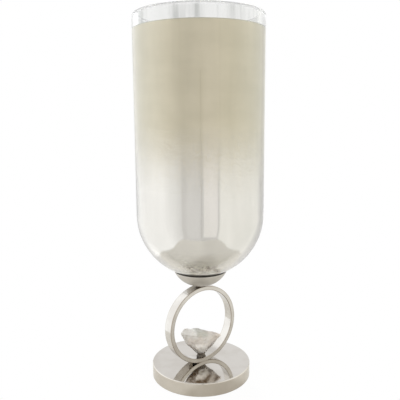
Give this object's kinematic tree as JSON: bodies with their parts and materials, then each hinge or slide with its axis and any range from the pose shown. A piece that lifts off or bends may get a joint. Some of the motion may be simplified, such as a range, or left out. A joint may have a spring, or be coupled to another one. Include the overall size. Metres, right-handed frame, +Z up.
{
  "type": "hurricane candle lantern",
  "caption": "Tall round-bottomed glass candle vessel clamped in a metal dish on a flat-bar ring that stands on a disc base and frames a rough quartz crystal.",
  "frame": {"origin": "centre of the underside of the felt pad, on the floor", "axes": "+Z up along the axis of the glass, Y along the axis of the ring, X across the ring"},
  "size_m": [0.152, 0.152, 0.4343],
  "materials": {
    "polished_nickel": "polished warm nickel plate",
    "steel": "zinc plated fasteners",
    "felt": "pressed felt",
    "dark_resin": "grained resin",
    "quartz": "rough translucent quartz",
    "black_rubber": "matte",
    "lustred_glass": "clear glass, lustred inside from champagne to silver"
  },
  "bodies": {
    "stand": {"base_disc": "polished_nickel", "base_pad": "felt", "base_bolt": "steel", "base_spring_washer": "steel", "ring": "polished_nickel", "crystal_bed": "dark_resin", "quartz_crystal": "quartz", "dish": "polished_nickel", "dish_gasket": "black_rubber", "clamp_stud": "steel", "dish_washer": "steel", "dish_nut": "steel"},
    "vessel": {"glass_vessel": "lustred_glass", "hole_grommet": "black_rubber", "inner_gasket": "black_rubber"},
    "captive_washer": {"clamp_washer": "steel"},
    "nut": {"clamp_nut": "steel"}
  },
  "joints": [
    {"name": "glass_lift", "type": "slide", "parent": "stand", "child": "vessel", "axis": [0, 0, 1], "range_m": [0, 0.03]},
    {"name": "washer_rise", "type": "slide", "parent": "vessel", "child": "captive_washer", "axis": [0, 0, 1], "range_m": [0, 0.006]},
    {"name": "nut_turn", "type": "hinge", "parent": "captive_washer", "child": "nut", "pos_m": [0, 0, 0.145], "axis": [0, 0, 1], "range_deg": [0, 2160]}
  ],
  "couplings": [
    {"joint": "nut_turn", "follows": "washer_rise", "rad_per_m": 6283.2}
  ]
}
